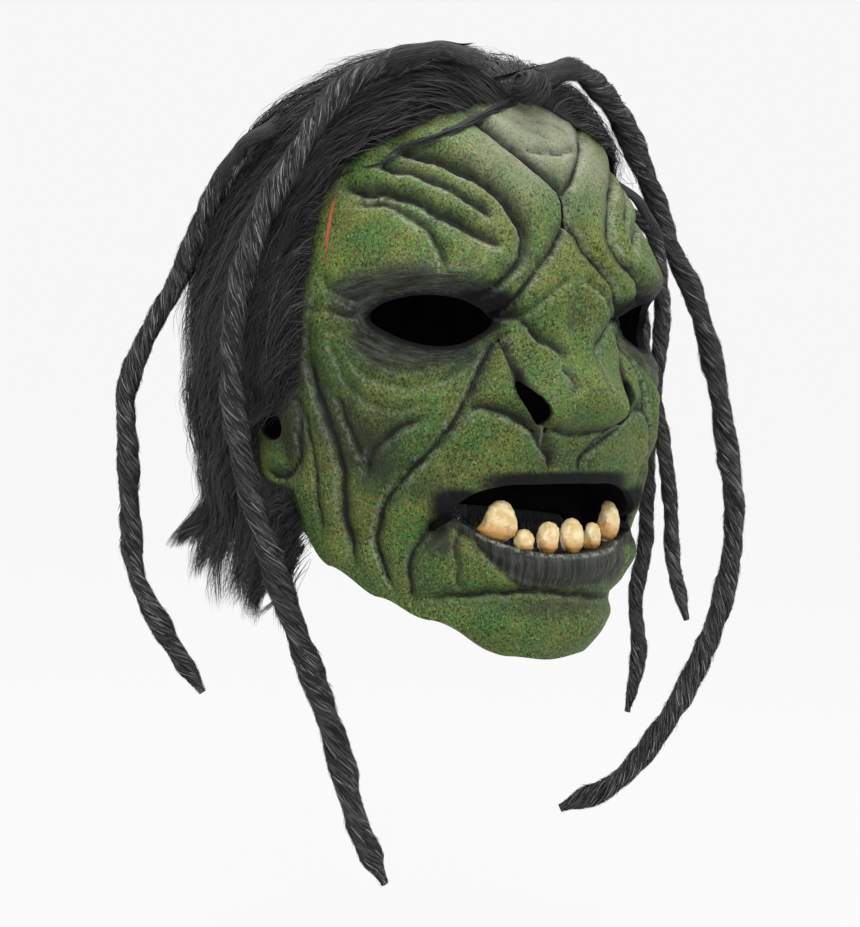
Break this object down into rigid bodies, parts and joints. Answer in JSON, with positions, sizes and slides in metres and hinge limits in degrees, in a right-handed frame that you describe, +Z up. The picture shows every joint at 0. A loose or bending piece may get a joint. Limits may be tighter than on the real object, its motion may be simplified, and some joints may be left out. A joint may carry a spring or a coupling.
{
  "type": "over-the-head mask",
  "caption": "Full-head latex ogre mask with glued teeth, a swept-back faux-fur wig and dreadlocks that swing.",
  "frame": {"origin": "where the inside of the crown rests on the wearer's head", "axes": "+Z up the wearer's head, the face looks along -Y, the wearer's right hand is at -X"},
  "size_m": [0.283, 0.2429, 0.3826],
  "materials": {
    "latex": "mottled green paint, satin",
    "teeth": "stained ivory, gloss",
    "fur": "long smooth fibres",
    "dread": "twisted wool-like fibre"
  },
  "bodies": {
    "head": {"latex_skin": "latex", "canine_right": "teeth", "tooth_right_outer": "teeth", "tooth_right_middle": "teeth", "tooth_left_middle": "teeth", "tooth_left_outer": "teeth", "canine_left": "teeth", "fur_crown": "fur", "fur_right": "fur", "fur_left": "fur", "fur_back": "fur", "forelock_knot": "fur", "dread_right_front_root": "dread", "dread_right_rear_root": "dread", "dread_left_front_root": "dread", "dread_left_middle_root": "dread", "dread_left_rear_root": "dread"},
    "right_front_dread": {"dread_right_front": "dread"},
    "right_rear_dread": {"dread_right_rear": "dread"},
    "left_front_dread": {"dread_left_front": "dread"},
    "left_middle_dread": {"dread_left_middle": "dread"},
    "left_rear_dread": {"dread_left_rear": "dread"}
  },
  "joints": [
    {"name": "right_front_swing", "type": "hinge", "parent": "head", "child": "right_front_dread", "pos_m": [-0.111, -0.005, -0.17], "axis": [-0.9048, 0.4259, 0], "range_deg": [0, 30]},
    {"name": "right_rear_swing", "type": "hinge", "parent": "head", "child": "right_rear_dread", "pos_m": [-0.104, 0.059, -0.095], "axis": [0.4981, 0.8671, 0], "range_deg": [0, 45]},
    {"name": "left_front_swing", "type": "hinge", "parent": "head", "child": "left_front_dread", "pos_m": [0.112, -0.034, -0.07], "axis": [-0.28, -0.96, 0], "range_deg": [0, 45]},
    {"name": "left_middle_swing", "type": "hinge", "parent": "head", "child": "left_middle_dread", "pos_m": [0.11, -0.034, -0.104], "axis": [-0.96, 0.28, 0], "range_deg": [0, 30]},
    {"name": "left_rear_swing", "type": "hinge", "parent": "head", "child": "left_rear_dread", "pos_m": [0.122, -0.009, -0.13], "axis": [-0.07, -0.9975, 0], "range_deg": [0, 45]}
  ]
}
